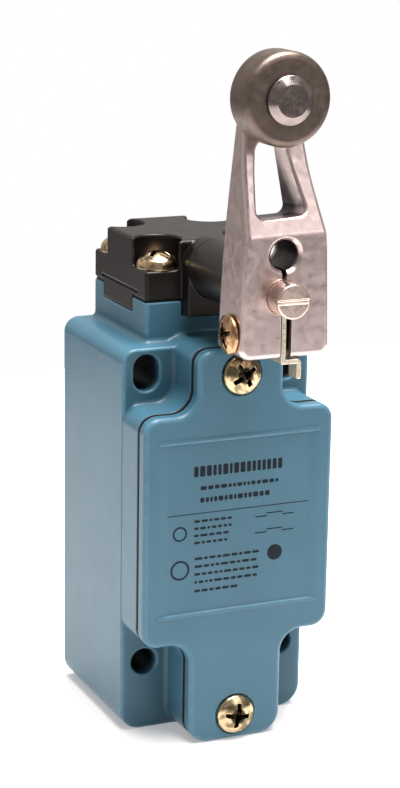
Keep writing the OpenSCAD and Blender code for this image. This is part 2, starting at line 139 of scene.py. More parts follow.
def line(u, v, u0, v0, u1, v1):
    """Signed distance to the line through two points, positive on its right."""
    n = math.hypot(u1 - u0, v1 - v0)
    return ((u - u0) * (v1 - v0) - (v - v0) * (u1 - u0)) / n


def smooth(t):
    t = np.clip(t, 0, 1)
    return t * t * (3 - 2 * t)


def surface(fn, lo, hi, h):
    """Quad mesh of fn = 0 by surface nets on a grid of pitch h. fn takes x, y, z in mm."""
    B = 8
    lo = np.array(lo, float) - 2.5 * h
    hi = np.array(hi, float) + 2.5 * h
    nb = np.ceil((hi - lo) / h / B).astype(int) + 1
    ax = [lo[i] + (np.arange(nb[i]) * B + (B - 1) / 2) * h for i in range(3)]
    X, Y, Z = np.meshgrid(*ax, indexing="ij")
    coarse = fn(X, Y, Z)
    near = np.abs(coarse) < h * B * math.sqrt(3) / 2 * 1.35 + h
    F = np.empty((nb[0], B, nb[1], B, nb[2], B), np.float32)
    F[:] = np.where(coarse > 0, 1.0, -1.0)[:, None, :, None, :, None]
    blocks = np.argwhere(near)
    off = np.arange(B)
    for s in range(0, len(blocks), 1500):
        b = blocks[s : s + 1500]
        px = (lo[0] + (b[:, 0, None] * B + off) * h)[:, :, None, None]
        py = (lo[1] + (b[:, 1, None] * B + off) * h)[:, None, :, None]
        pz = (lo[2] + (b[:, 2, None] * B + off) * h)[:, None, None, :]
        px, py, pz = np.broadcast_arrays(px, py, pz)
        val = fn(px.astype(np.float32), py.astype(np.float32), pz.astype(np.float32))
        F[b[:, 0], :, b[:, 1], :, b[:, 2], :] = val
    F = F.reshape(nb[0] * B, nb[1] * B, nb[2] * B)
    S = F < 0
    count = np.zeros(tuple(n - 1 for n in S.shape), np.int8)
    for i in (0, 1):
        for j in (0, 1):
            for k in (0, 1):
                count += S[i : S.shape[0] - 1 + i, j : S.shape[1] - 1 + j, k : S.shape[2] - 1 + k]
    cells = np.argwhere((count > 0) & (count < 8))
    cid = np.full(count.shape, -1, np.int32)
    cid[cells[:, 0], cells[:, 1], cells[:, 2]] = np.arange(len(cells))
    corner = {}
    for i in (0, 1):
        for j in (0, 1):
            for k in (0, 1):
                corner[i, j, k] = F[cells[:, 0] + i, cells[:, 1] + j, cells[:, 2] + k]
    acc = np.zeros((len(cells), 3))
    num = np.zeros(len(cells))
    for a in corner:
        for axis in range(3):
            if a[axis]:
                continue
            b = tuple(1 if q == axis else a[q] for q in range(3))
            fa, fb = corner[a], corner[b]
            hit = (fa < 0) != (fb < 0)
            t = np.where(hit, fa / np.where(hit, fa - fb, 1), 0)
            p = np.array(a, float)[None, :] + t[:, None] * np.eye(3)[axis]
            acc += np.where(hit[:, None], p, 0)
            num += hit
    V = lo + (cells + acc / num[:, None]) * h
    quads = []
    for axis in range(3):
        u, v = (axis + 1) % 3, (axis + 2) % 3
        take = [slice(None)] * 3
        take[axis] = slice(0, S.shape[axis] - 1)
        give = [slice(None)] * 3
        give[axis] = slice(1, S.shape[axis])
        E = np.argwhere(S[tuple(take)] != S[tuple(give)])
        inside = S[E[:, 0], E[:, 1], E[:, 2]]
        c = []
        for du, dv in ((-1, -1), (0, -1), (0, 0), (-1, 0)):
            q = E.copy()
            q[:, u] += du
            q[:, v] += dv
            c.append(cid[q[:, 0], q[:, 1], q[:, 2]])
        c = np.stack(c, 1)
        c[~inside] = c[~inside][:, ::-1]
        quads.append(c)
    return V, np.concatenate(quads)


def slope(fn, P, e=0.02):
    g = np.empty_like(P)
    for i in range(3):
        q = P.copy()
        q[:, i] += e
        a = fn(q[:, 0], q[:, 1], q[:, 2])
        q[:, i] -= 2 * e
        g[:, i] = (a - fn(q[:, 0], q[:, 1], q[:, 2])) / (2 * e)
    return g


def settle(fn, P, h, steps=3):
    """Moves points onto fn = 0."""
    P = P.astype(float).copy()
    for _ in range(steps):
        f = fn(P[:, 0], P[:, 1], P[:, 2])
        g = slope(fn, P)
        n2 = np.maximum((g * g).sum(1), 0.09)
        P -= np.clip(f / n2, -h, h)[:, None] * g
    return P


def bend(fn, P, e=0.16):
    """Sum of the surface's curvatures at each point, in 1/mm: above 0 on outer edges."""
    f0 = fn(P[:, 0], P[:, 1], P[:, 2])
    acc = -6 * f0
    for i in range(3):
        for s in (-e, e):
            q = P.copy()
            q[:, i] += s
            acc = acc + fn(q[:, 0], q[:, 1], q[:, 2])
    return acc / (e * e)


# ------------------------------------------------------------------ meshes


def build(name, V, faces, normals=None, curv=None, deep=None, smooth_faces=True):
    """Mesh object from points in mm and faces, which are an index array or a list of them."""
    arrays = faces if isinstance(faces, list) else [faces]
    me = bpy.data.meshes.new(name)
    me.vertices.add(len(V))
    me.vertices.foreach_set("co", (np.asarray(V, float) / 1000).astype(np.float32).ravel())
    loops = np.concatenate([a.ravel() for a in arrays]).astype(np.int32)
    sizes = np.concatenate([np.full(len(a), a.shape[1]) for a in arrays])
    starts = np.concatenate([[0], np.cumsum(sizes)[:-1]]).astype(np.int32)
    me.loops.add(len(loops))
    me.loops.foreach_set("vertex_index", loops)
    me.polygons.add(len(starts))
    me.polygons.foreach_set("loop_start", starts)
    me.polygons.foreach_set("use_smooth", np.full(len(starts), smooth_faces))
    me.update(calc_edges=True)
    if curv is not None:
        at = me.attributes.new("curv", "FLOAT", "POINT")
        at.data.foreach_set("value", np.clip(curv, -4, 4).astype(np.float32))
    if deep is not None:
        at = me.attributes.new("deep", "FLOAT", "POINT")
        at.data.foreach_set("value", np.clip(deep, 0, 9).astype(np.float32))
    if normals is not None:
        n = normals / np.maximum(np.linalg.norm(normals, axis=1, keepdims=True), 1e-9)
        me.normals_split_custom_set_from_vertices(n.tolist())
    ob = bpy.data.objects.new(name, me)
    bpy.context.scene.collection.objects.link(ob)
    return ob


def thin(V, F, target):
    """Fewer triangles by edge collapse, most of them taken from flat faces."""
    ob = build("tmp_thin", V, F)
    n_tri = len(F) * (F.shape[1] - 2)
    mod = ob.modifiers.new("d", "DECIMATE")
    mod.ratio = min(1.0, target / n_tri)
    mod.use_collapse_triangulate = True
    dg = bpy.context.evaluated_depsgraph_get()
    ev = ob.evaluated_get(dg)
    me = ev.to_mesh()
    co = np.empty(len(me.vertices) * 3, np.float32)
    me.vertices.foreach_get("co", co)
    me.calc_loop_triangles()
    tri = np.empty(len(me.loop_triangles) * 3, np.int32)
    me.loop_triangles.foreach_get("vertices", tri)
    ev.to_mesh_clear()
    data = ob.data
    bpy.data.objects.remove(ob)
    bpy.data.meshes.remove(data)
    return co.reshape(-1, 3).astype(float) * 1000, tri.reshape(-1, 3)


def sculpt(fn, lo, hi, h, target, shell=None):
    """Points, triangles, normals, edge measure and depth below the undrilled shell of a distance field."""
    h *= COARSE
    V, Q = surface(fn, lo, hi, h)
    V = settle(fn, V, h)
    V, T = thin(V, Q, target)
    V = settle(fn, V, h * 0.5, 2)
    low = np.zeros(len(V)) if shell is None else np.maximum(-shell(V[:, 0], V[:, 1], V[:, 2]), 0)
    return V, T, slope(fn, V), bend(fn, V), low


def body_of(node):
    return NODES[node]["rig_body"]


def stand_in(ob, node, material):
    """Gives a new piece its material and puts it in the place of a CAD node."""
    lo, hi = (np.array(v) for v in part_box(node))
    me = ob.data
    co = np.empty(len(me.vertices) * 3, np.float32)
    me.vertices.foreach_get("co", co)
    co = np.clip(co.reshape(-1, 3), lo, hi)
    me.vertices.foreach_set("co", co.ravel())
    me.materials.append(material)
    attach(ob, body_of(node))
    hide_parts(node)
    return ob


def fillet(points, step=7.5):
    """Open outline [(r, t, radius)] with its corners rounded: [(r, t, nr, nt)], normals to the right of travel."""
    P = [np.array(p[:2], float) for p in points]
    out = []

    def right_of(a, b):
        d = (b - a) / np.linalg.norm(b - a)
        return np.array([d[1], -d[0]])

    out.append((*P[0], *right_of(P[0], P[1])))
    for i in range(1, len(P) - 1):
        a, b, c = P[i - 1], P[i], P[i + 1]
        d1 = (b - a) / np.linalg.norm(b - a)
        d2 = (c - b) / np.linalg.norm(c - b)
        turn = math.acos(float(np.clip(d1 @ d2, -1, 1)))
        r = points[i][2]
        n1, n2 = right_of(a, b), right_of(b, c)
        if r <= 0 or turn < 1e-3:
            out.append((*b, *n1))
            out.append((*b, *n2))
            continue
        cut = min(r * math.tan(turn / 2), 0.499 * np.linalg.norm(b - a), 0.499 * np.linalg.norm(c - b))
        rad = cut / math.tan(turn / 2)
        side = 1.0 if d1[0] * d2[1] - d1[1] * d2[0] > 0 else -1.0
        start = b - d1 * cut
        centre = start - side * n1 * rad
        steps = max(2, int(math.ceil(math.degrees(turn) / step)))
        for k in range(steps + 1):
            ang = side * turn * k / steps
            ca, sa = math.cos(ang), math.sin(ang)
            n = np.array([n1[0] * ca - n1[1] * sa, n1[0] * sa + n1[1] * ca])
            out.append((*(centre + side * n * rad), *n))
    out.append((*P[-1], *right_of(P[-2], P[-1])))
    return out


def lathe(profile, n, cx, cz, closed=False):
    """Turns a rounded profile of (radius, depth) about the line along Y through (cx, cz)."""
    pr = np.array(profile)
    if closed:
        pr = np.vstack([pr, pr[:1]])
    a = np.linspace(0, 2 * math.pi, n, endpoint=False)
    V, Nn = [], []
    for r, t, nr, nt in pr:
        V.append(np.stack([cx + r * np.cos(a), np.full(n, -t), cz + r * np.sin(a)], 1))
        Nn.append(np.stack([nr * np.cos(a), np.full(n, -nt), nr * np.sin(a)], 1))
    V, Nn = np.concatenate(V), np.concatenate(Nn)
    quads = []
    i = np.arange(n)
    for k in range(len(pr) - 1):
        if np.allclose(pr[k, :2], pr[k + 1, :2], atol=1e-6):
            continue
        if pr[k, 0] < 1e-6 and pr[k + 1, 0] < 1e-6:
            continue
        q = np.stack([k * n + i, (k + 1) * n + i, (k + 1) * n + (i + 1) % n, k * n + (i + 1) % n], 1)
        quads.append(q)
    Q = np.concatenate(quads)
    return V, Q, Nn


def weld_points(V, F, Nn=None, tol=1e-4):
    """Joins points that lie together and drops faces that close up."""
    key = np.round(V / tol).astype(np.int64)
    _, first, inv = np.unique(key, axis=0, return_index=True, return_inverse=True)
    inv = inv.ravel()
    F = inv[F]
    tri = []
    for k in range(1, F.shape[1] - 1):
        t = F[:, [0, k, k + 1]]
        ok = (t[:, 0] != t[:, 1]) & (t[:, 1] != t[:, 2]) & (t[:, 0] != t[:, 2])
        tri.append(t[ok])
    return V[first], np.concatenate(tri)


def turned(name, points, n, cx, cz, closed=True):
    """Lathe mesh with shading normals split only at unrounded corners."""
    prof = fillet(points)
    V, Q, Nn = lathe(prof, n, cx, cz)
    V2, T = weld_points(V, Q)
    # outward faces: the signed volume is above zero
    a, b, c = V2[T[:, 0]], V2[T[:, 1]], V2[T[:, 2]]
    if np.einsum("ij,ij->i", a, np.cross(b, c)).sum() < 0:
        T = T[:, ::-1]
    ob = build(name, V2, T)
    ob.data.set_sharp_from_angle(angle=math.radians(32))
    return ob


def tube(path, radius, k=14):
    """Round wire along a path of points, its ends closed. Returns points, quads and triangles."""
    P = np.array(path, float)
    T = np.gradient(P, axis=0)
    T /= np.linalg.norm(T, axis=1, keepdims=True)
    ref = np.array([0, 0, 1.0])
    B = np.cross(T, ref)
    B /= np.maximum(np.linalg.norm(B, axis=1, keepdims=True), 1e-9)
    Nn = np.cross(B, T)
    a = np.linspace(0, 2 * math.pi, k, endpoint=False)
    ring = P[:, None, :] + radius * (
        np.cos(a)[None, :, None] * B[:, None, :] + np.sin(a)[None, :, None] * Nn[:, None, :]
    )
    V = ring.reshape(-1, 3)
    m_, i = len(P), np.arange(k)
    Q = np.concatenate(
        [np.stack([s * k + i, s * k + (i + 1) % k, (s + 1) * k + (i + 1) % k, (s + 1) * k + i], 1) for s in range(m_ - 1)]
    )
    V = np.vstack([V, P[0], P[-1]])
    c0, c1 = m_ * k, m_ * k + 1
    caps = np.concatenate(
        [
            np.stack([np.full(k, c0), (i + 1) % k, i], 1),
            np.stack([np.full(k, c1), (m_ - 1) * k + i, (m_ - 1) * k + (i + 1) % k], 1),
        ]
    )
    return V, Q, caps


def coil_path(length, r, d, n, spt=28):
    """Centreline of a compression coil with closed ends, standing on z = 0."""
    rise = 1.06 * d
    mid = length - d - 2 * rise
    out = []
    for i in range(int(n * spt) + 1):
        t = i / spt
        if t < 1:
            z = d / 2 + rise * t
        elif t > n - 1:
            z = length - d / 2 - rise * (n - t)
        else:
            z = d / 2 + rise + mid * (t - 1) / (n - 2)
        a = 2 * math.pi * t
        out.append((r * math.cos(a), r * math.sin(a), z))
    return np.array(out)


# ------------------------------------------------------------------ materials


class Mat:
    """Small helper to write a procedural material."""

    def __init__(self, name):
        self.m = bpy.data.materials.new(name)
        self.m.use_nodes = True
        self.t = self.m.node_tree
        self.t.nodes.clear()
        self.out = self.t.nodes.new("ShaderNodeOutputMaterial")
        self.b = self.t.nodes.new("ShaderNodeBsdfPrincipled")
        self.t.links.new(self.b.outputs["BSDF"], self.out.inputs["Surface"])
        self.co = self.t.nodes.new("ShaderNodeTexCoord").outputs["Object"]

    def set(self, **kw):
        for k, v in kw.items():
            self.b.inputs[k.replace("_", " ")].default_value = v
        return self

    def put(self, name, socket):
        self.t.links.new(socket, self.b.inputs[name])

    def stretched(self, sx, sy, sz):
        n = self.t.nodes.new("ShaderNodeMapping")
        n.inputs["Scale"].default_value = (sx, sy, sz)
        self.t.links.new(self.co, n.inputs["Vector"])
        return n.outputs["Vector"]

    def noise(self, size, detail=3.0, rough=0.5, co=None, warp=0.0):
        n = self.t.nodes.new("ShaderNodeTexNoise")
        n.inputs["Scale"].default_value = 1000.0 / size
        n.inputs["Detail"].default_value = detail
        n.inputs["Roughness"].default_value = rough
        n.inputs["Distortion"].default_value = warp
        self.t.links.new(co or self.co, n.inputs["Vector"])
        return n.outputs["Fac"]

    def from_axis(self, cx, cz):
        """Distance in m from the line along Y at (cx, cz) mm."""
        s = self.t.nodes.new("ShaderNodeSeparateXYZ")
        self.t.links.new(self.co, s.inputs[0])
        dx = self.math("SUBTRACT", s.outputs["X"], cx / 1000)
        dz = self.math("SUBTRACT", s.outputs["Z"], cz / 1000)
        return self.math("SQRT", self.math("ADD", self.math("MULTIPLY", dx, dx), self.math("MULTIPLY", dz, dz)))

    def radius(self, cx, cz):
        return self.math("MULTIPLY", self.from_axis(cx, cz), 1000.0)

    def rings(self, cx, cz, pitch):
        """Turning marks: a wave of the distance from the line along Y at (cx, cz)."""
        r = self.from_axis(cx, cz)
        wob = self.math("MULTIPLY", self.noise(2.5, 2), pitch / 1000 * 0.5)
        return self.math("SINE", self.math("MULTIPLY", self.math("ADD", r, wob), 2 * math.pi * 1000 / pitch))

    def math(self, op, a, b=None, c=None, clamp=False):
        n = self.t.nodes.new("ShaderNodeMath")
        n.operation = op
        n.use_clamp = clamp
        for i, v in enumerate((a, b, c)):
            if v is None:
                continue
            if isinstance(v, (int, float)):
                n.inputs[i].default_value = v
            else:
                self.t.links.new(v, n.inputs[i])
        return n.outputs[0]

    def span(self, v, a, b, c=0.0, d=1.0, soft=False):
        """Takes v from the range a..b to c..d."""
        n = self.t.nodes.new("ShaderNodeMapRange")
        n.interpolation_type = "SMOOTHSTEP" if soft else "LINEAR"
        n.clamp = True
        for key, val in (("From Min", a), ("From Max", b), ("To Min", c), ("To Max", d)):
            n.inputs[key].default_value = val
        self.t.links.new(v, n.inputs["Value"])
        return n.outputs["Result"]

    def mix(self, f, a, b, mode="MIX"):
        n = self.t.nodes.new("ShaderNodeMix")
        n.data_type = "RGBA"
        n.blend_type = mode
        n.clamp_factor = True
        if isinstance(f, (int, float)):
            n.inputs[0].default_value = f
        else:
            self.t.links.new(f, n.inputs[0])
        for i, v in ((6, a), (7, b)):
            if isinstance(v, tuple):
                n.inputs[i].default_value = (*v, 1.0)
            else:
                self.t.links.new(v, n.inputs[i])
        return n.outputs[2]

    def edge(self):
        """Edge measure of the rebuilt meshes; zero on the others."""
        n = self.t.nodes.new("ShaderNodeAttribute")
        n.attribute_name = "curv"
        return n.outputs["Fac"]

    def deep(self):
        """Depth in mm inside bores, slots and recesses of the rebuilt meshes; zero elsewhere."""
        n = self.t.nodes.new("ShaderNodeAttribute")
        n.attribute_name = "deep"
        return n.outputs["Fac"]

    def bump(self, parts):
        """parts: [(height socket, strength, distance in mm)], laid over each other."""
        last = None
        for height, strength, dist in parts:
            n = self.t.nodes.new("ShaderNodeBump")
            n.inputs["Strength"].default_value = strength
            n.inputs["Distance"].default_value = dist / 1000
            self.t.links.new(height, n.inputs["Height"])
            if last is not None:
                self.t.links.new(last, n.inputs["Normal"])
            last = n.outputs["Normal"]
        self.put("Normal", last)
        return self


def tint(c, k):
    return tuple(min(1.0, v * k) for v in c)


def enamel(name, base, rough=0.38, peel=0.035, coat=0.1, ior=1.4, gloss=None, pale=0.5):
    """Stoved enamel over a casting: orange peel, faint clouding, edges paler from wear and painted highlight,
    painted shade in creases and deep in bores and recesses.
    """
    M = Mat(name)
    cloud = M.noise(14, 3)
    fleck = M.noise(0.5, 2)
    col = M.mix(M.span(cloud, 0.35, 0.65), tint(base, 0.95), tint(base, 1.05))
    col = M.mix(M.span(fleck, 0.3, 0.75, 0.0, 0.10), col, tint(base, 1.3))
    e = M.edge()
    # paler outer edges: partly wear, partly a painted highlight
    wear_and_highlight = M.math("MULTIPLY", M.span(e, 0.2, 1.5, soft=True), M.span(M.noise(2.2, 4), 0.42, 0.62, 0.55, 1.0))
    col = M.mix(M.math("MULTIPLY", wear_and_highlight, pale), col, tuple(min(1, v * 1.75 + 0.035) for v in base))
    # painted shade in creases and fillets, where the curvature is concave
    crease_shade = M.math("MULTIPLY", M.span(M.math("MULTIPLY", e, -1.0), 0.3, 1.6, soft=True), 0.28)
    col = M.mix(crease_shade, col, tint(base, 0.55))
    # painted shade deep in bores, slots and recesses, on the recess floor and along the gasket joint
    col = M.mix(M.span(M.deep(), 0.3, 3.0, 0.0, 0.93, soft=True), col, tint(base, 0.06))
    M.put("Base Color", col)
    M.put("Roughness", M.span(M.noise(3.0, 4), 0.3, 0.7, rough - 0.02, rough + 0.03))
    M.set(IOR=ior)
    M.b.inputs["Coat Weight"].default_value = coat
    M.b.inputs["Coat Roughness"].default_value = 0.3
    if gloss:
        M.b.inputs["Specular Tint"].default_value = (*gloss, 1.0)
    M.bump([(M.noise(1.3, 2), peel * 0.25, 0.12), (M.noise(0.22, 2), peel * 0.8, 0.03)])
    return M.m


def cast(name, base, rough=0.36, grain=0.10, metallic=1.0):
    """Bare die casting: fine grain, cloudy tone, edges paler from polish and painted highlight, painted shade in
    fillets, holes and the window.
    """
    M = Mat(name)
    a = M.span(M.noise(5.0, 5, 0.6), 0.32, 0.68)
    col = M.mix(a, tint(base, 0.90), tint(base, 1.07))
    col = M.mix(M.span(M.noise(0.35, 3), 0.35, 0.7, 0, 0.3), col, tint(base, 0.78))
    # paler outer edges: partly polish, partly a painted highlight
    e = M.span(M.edge(), 0.3, 1.5, soft=True)
    col = M.mix(M.math("MULTIPLY", e, 0.55), col, tint(base, 1.3))
    # painted shade in fillets and creases, where the curvature is concave
    fillet_shade = M.math("MULTIPLY", M.span(M.math("MULTIPLY", M.edge(), -1.0), 0.3, 2.0, soft=True), 0.4)
    col = M.mix(fillet_shade, col, tint(base, 0.45))
    # painted shade deep in the bore, holes and slit, and on the window walls
    col = M.mix(M.span(M.deep(), 0.25, 1.6, 0.0, 0.97, soft=True), col, tint(base, 0.035))
    M.put("Base Color", col)
    M.put("Roughness", M.span(M.noise(1.6, 4), 0.3, 0.7, rough - 0.07, rough + 0.1))
    M.set(Metallic=metallic)
    M.bump([(M.noise(1.8, 3), grain * 0.7, 0.15), (M.noise(0.3, 3), grain, 0.05)])
    return M.m


def plated(name, base, second, rough=0.24, metallic=1.0, mottle=None):
    """Passivated zinc or tin plate: shifting tint, fine scratches."""
    M = Mat(name)
    a = M.span(M.noise(1.7, 3, 0.5, warp=0.6), 0.38, 0.62)
    col = M.mix(a, base, second)
    col = M.mix(M.span(M.noise(0.5, 3), 0.5, 0.75, 0, 0.35), col, tint(base, 0.7))
    if mottle:
        col = M.mix(M.span(M.noise(1.7, 2, 0.4, warp=0.4), 0.45, 0.60, 0, 0.85, soft=True), col, mottle)
    # paler outer edges: partly wear, partly a painted highlight
    e = M.span(M.edge(), 0.6, 3.0, soft=True)
    col = M.mix(M.math("MULTIPLY", e, 0.35), col, tint(base, 1.25))
    # painted shade deep in cross recesses, slots and holes
    col = M.mix(M.span(M.deep(), 0.1, 0.6, 0.0, 0.96, soft=True), col, tint(base, 0.03))
    M.put("Base Color", col)
    M.put("Roughness", M.span(M.noise(0.9, 4), 0.3, 0.7, rough - 0.06, rough + 0.1))
    M.set(Metallic=metallic)
    M.bump([(M.noise(0.6, 3, co=M.stretched(1, 1, 6)), 0.06, 0.03), (M.noise(0.15, 2), 0.05, 0.02)])
    return M.m


def turned_metal(name, base, cx, cz, pitch=0.18, rough=0.28, ring=0.2, dark=0.8, face=None):
    """Turned steel: concentric tool marks on its faces."""
    M = Mat(name)
    w = M.rings(cx, cz, pitch)
    a = M.span(M.noise(3.0, 5, 0.6), 0.35, 0.65)
    col = M.mix(a, tint(base, dark), tint(base, 1.08))
    col = M.mix(M.span(M.noise(0.3, 3), 0.45, 0.75, 0, 0.35), col, tint(base, dark * 0.75))
    if face:
        col = M.mix(M.span(M.radius(cx, cz), face[0] - 0.15, face[0] + 0.15), tint(base, face[1]), col)
    M.put("Base Color", col)
    M.put("Roughness", M.span(M.noise(1.4, 4), 0.3, 0.7, rough - 0.06, rough + 0.1))
    M.set(Metallic=1.0)
    M.bump([(w, ring, 0.012), (M.noise(0.25, 3), 0.08, 0.03)])
    return M.m


def moulded(name, base, rough=0.5, grain=0.08, ior=1.48):
    """Moulded plastic or rubber: fine spark-eroded texture and slight sink marks."""
    M = Mat(name)
    col = M.mix(M.span(M.noise(7, 3), 0.35, 0.65), tint(base, 0.9), tint(base, 1.12))
    col = M.mix(M.span(M.noise(0.4, 3), 0.4, 0.7, 0, 0.25), col, tint(base, 1.35))
    M.put("Base Color", col)
    M.put("Roughness", M.span(M.noise(0.8, 3), 0.3, 0.7, rough - 0.08, rough + 0.1))
    M.set(IOR=ior)
    M.bump([(M.noise(0.25, 3), grain, 0.04), (M.noise(4, 2), 0.05, 0.2)])
    return M.m


BLUE = (0.048, 0.139, 0.200)
ENAMEL = enamel("blue_enamel", BLUE)
HEAD_PAINT = enamel("black_head_enamel", (0.0035, 0.0033, 0.0031), rough=0.34, peel=0.09, coat=0.0, ior=1.385, gloss=(1.0, 0.87, 0.84), pale=0.16)
LEVER_CAST = cast("cast_zinc_lever", (0.60, 0.49, 0.475), rough=0.34, grain=0.12)
YELLOW = plated("yellow_zinc", (0.72, 0.56, 0.34), (0.56, 0.38, 0.24), rough=0.2, mottle=(0.17, 0.145, 0.07))
CLAMP_ZINC = plated("warm_zinc", (0.62, 0.37, 0.19), (0.46, 0.29, 0.17), mottle=(0.22, 0.13, 0.07))
TAB = plated("tab_plate", (0.80, 0.74, 0.62), (0.72, 0.60, 0.42), rough=0.3)
RUBBER = moulded("black_rubber", (0.006, 0.008, 0.010), rough=0.72, grain=0.12, ior=1.25)
SHAFT = turned_metal("shaft_steel", (0.80, 0.64, 0.56), 0.0, 48.9, ring=0.15)
ROLLER = turned_metal("roller_metal", (0.195, 0.150, 0.127), 0.0, 84.75, pitch=0.35, rough=0.42, ring=0.22, dark=0.8)
PIN = turned_metal("pin_steel", (0.34, 0.28, 0.265), 0.0, 84.75, pitch=0.16, rough=0.22, ring=0.2, face=(2.95, 0.95))
BRONZE = turned_metal("bronze", (0.62, 0.42, 0.24), 0.0, 48.9, pitch=0.3, rough=0.38)
BRIGHT = plated("bright_steel", (0.70, 0.69, 0.68), (0.60, 0.60, 0.60), rough=0.28)
DARK = plated("dark_steel", (0.20, 0.20, 0.21), (0.14, 0.14, 0.15), rough=0.36)
SPRING = plated("spring_steel", (0.56, 0.55, 0.54), (0.46, 0.45, 0.44), rough=0.24)
DARK_MOULD = moulded("dark_moulding", (0.028, 0.028, 0.031))
IVORY = moulded("ivory_moulding", (0.66, 0.62, 0.52), rough=0.45)
BRASS = plated("contact_brass", (0.82, 0.60, 0.27), (0.72, 0.47, 0.22), rough=0.28)
SILVER = plated("silver_tip", (0.85, 0.85, 0.84), (0.72, 0.72, 0.73), rough=0.3)
TERMINAL = plated("terminal_steel", (0.66, 0.64, 0.58), (0.58, 0.54, 0.46), rough=0.28)
GREEN = plated("ground_green", (0.10, 0.34, 0.16), (0.08, 0.26, 0.14), rough=0.36, metallic=0.6)
INK = moulded("print_ink", (0.010, 0.015, 0.021), rough=0.6, grain=0.05, ior=1.25)

# ------------------------------------------------------------------ housing


def outline(x, z, i, w):
    """Outline of the cover, drawn i inside its full size."""
    f = rr(x, z, -w + i, w - i, -23 + i, 23.2 - i, 3.3 - i)
    f = ru(f, rr(x, z, -9 + i, 9 - i, 0, 35.5 - i, 2.9 - i), 4.5 + i)
    return ru(f, rr(x, z, -9.9 + i, 9.9 - i, -44.3 + i, 0, 4.4 - i), 4.5 + i)


def tongue_plan(x, e, c=0.0, r=0.0):
    """Plan of the head's four tongues, grown by c; e is the depth from the head's centre."""
    far = 13.75 + (1.25 if c > 0 else 0.0)
    f = ri(np.abs(x) - 6 - c, seg(e, 12.15 - c, far), r)
    f = np.minimum(f, ri(np.abs(x) - 5.2 - c, seg(e, -far, c - 12.15), r))
    f = np.minimum(f, ri(np.abs(e) - 5.2 - c, seg(x, 12.15 - c, far), r))
    return np.minimum(f, ri(seg(e, -8.7 - c, 6.8 + c), seg(x, -far, c - 12.15), r))


def housing(x, y, z, shell=False):
    d = -y
    v = np.abs(d - 15)
    u = np.abs(x)
    body = ri(rr(x, z, -20, 20, -44.3, 34.3, np.where(z < -5, 4.5, 3.0)), seg(d, 0, 32.7), 0.55)
    rim = ri(outline(x, z, 0, 19.9), seg(d, 10, 40.4), 0.3)
    neck = ri(rr(x, d - 15, -13.75, 13.75, -13.75, 13.75, 0.8), seg(z, 20, 42.3), 0.3)
    f = ru(body, neck, 1.3)
    # the fillet at the rim's foot fades out where the rim runs along the sides
    r = 0.02 + 0.95 * smooth((19.6 - u) / 2.2)
    f = np.maximum(r, np.minimum(f, rim)) - np.hypot(np.maximum(r - f, 0), np.maximum(r - rim, 0))
    f = np.maximum(f, u - 20)
    if shell:
        return f
    # chambers
    f = rs(f, ri(rr(x, z, -17, 17, -20.4, 20.2, 2), seg(d, 3, 50), 0.5), 0.3)
    f = rs(f, ri(rr(x, z, -7.4, 7.4, 15, 31, 2), seg(d, 3, 29.4), 0.5), 0.3)
    f = rs(f, ri(rr(x, z, -9.3, 9.3, -32.5, -15, 1), seg(d, 5, 29.8), 0.5), 0.3)
    # threaded conduit entry with a countersunk lip
    rad = np.hypot(x, d - 17)
    turn = np.arctan2(d - 17, x) / (2 * math.pi)
    t = z / 1.5 - turn
    tooth = np.abs((t - np.floor(t)) * 2 - 1)
    thread = np.clip(tooth * 1.15 - 0.15, 0, 1) * 0.78 * smooth((z + 43.9) / 0.5) * smooth((-33.2 - z) / 1.0)
    lip = np.clip(-43.51 - z, 0, 0.8)
    f = np.maximum(f, -np.maximum((rad - 9.19 - thread - lip) * 0.62, seg(z, -47, -31.3)))
    # neck bore and guide seat
    r15 = np.hypot(x, d - 15)
    f = rs(f, np.maximum(r15 - 9, seg(z, 34.3, 54)), 0.3)
    f = rs(f, np.maximum(r15 - 6, seg(z, 29, 39)), 0.2)
    # mounting holes: round below, slots above
    f = rs(f, np.maximum(disc(u, z, 2.65, 15, -30), seg(d, -1, 34)), 0.45)
    f = rs(f, np.maximum(rr(u, z, 12.35, 17.65, 25.75, 33.05, 2.649), seg(d, -1, 34)), 0.45)
    # tapped holes
    f = rs(f, np.maximum(disc(u, v, 2.0, 9.6, 9.6), seg(z, 35.2, 46)), 0.2)
    f = rs(f, np.maximum(disc(x, z, 2.0, 0, 30.6), seg(d, 31, 42)), 0.2)
    f = rs(f, np.maximum(disc(x, z, 2.0, 0, -39.1), seg(d, 31.6, 42)), 0.2)
    f = rs(f, np.maximum(disc(u, z, 1.5, 12, 2), seg(d, 1, 6)), 0.15)
    f = rs(f, np.maximum(disc(x, z, 2.0, -11.5, -17), seg(d, 1, 6)), 0.15)
    # seats of the head's tongues
    f = rs(f, ri(tongue_plan(x, d - 15, 0.1), 39.4 - z, 0.2), 0.25)
    return f


def housing_depth(x, y, z):
    """Depth in the bores, and a little on the hole faces and along the gasket: it sets painted shade there."""
    d = -y
    low = -housing(x, y, z, True)
    # painted shade on the recess floor around the holes and on the rim next to the gasket
    face = smooth((19.7 - np.abs(x)) / 0.8) * smooth((34.2 - z) / 0.6) * smooth((z + 44.2) / 0.6)
    face = face * smooth((34.6 - d) / 1.9) * smooth((d - 31.9) / 0.4)
    joint = smooth((d - 39.7) / 0.5)
    return -np.maximum(low, np.maximum(1.25 * face, 1.5 * joint))


piece = sculpt(housing, (-20, -40.4, -44.3), (20, 0, 42.3), 0.33, 190000, housing_depth)
stand_in(build("housing_casting", *piece), "housing", ENAMEL)


# ------------------------------------------------------------------ cover


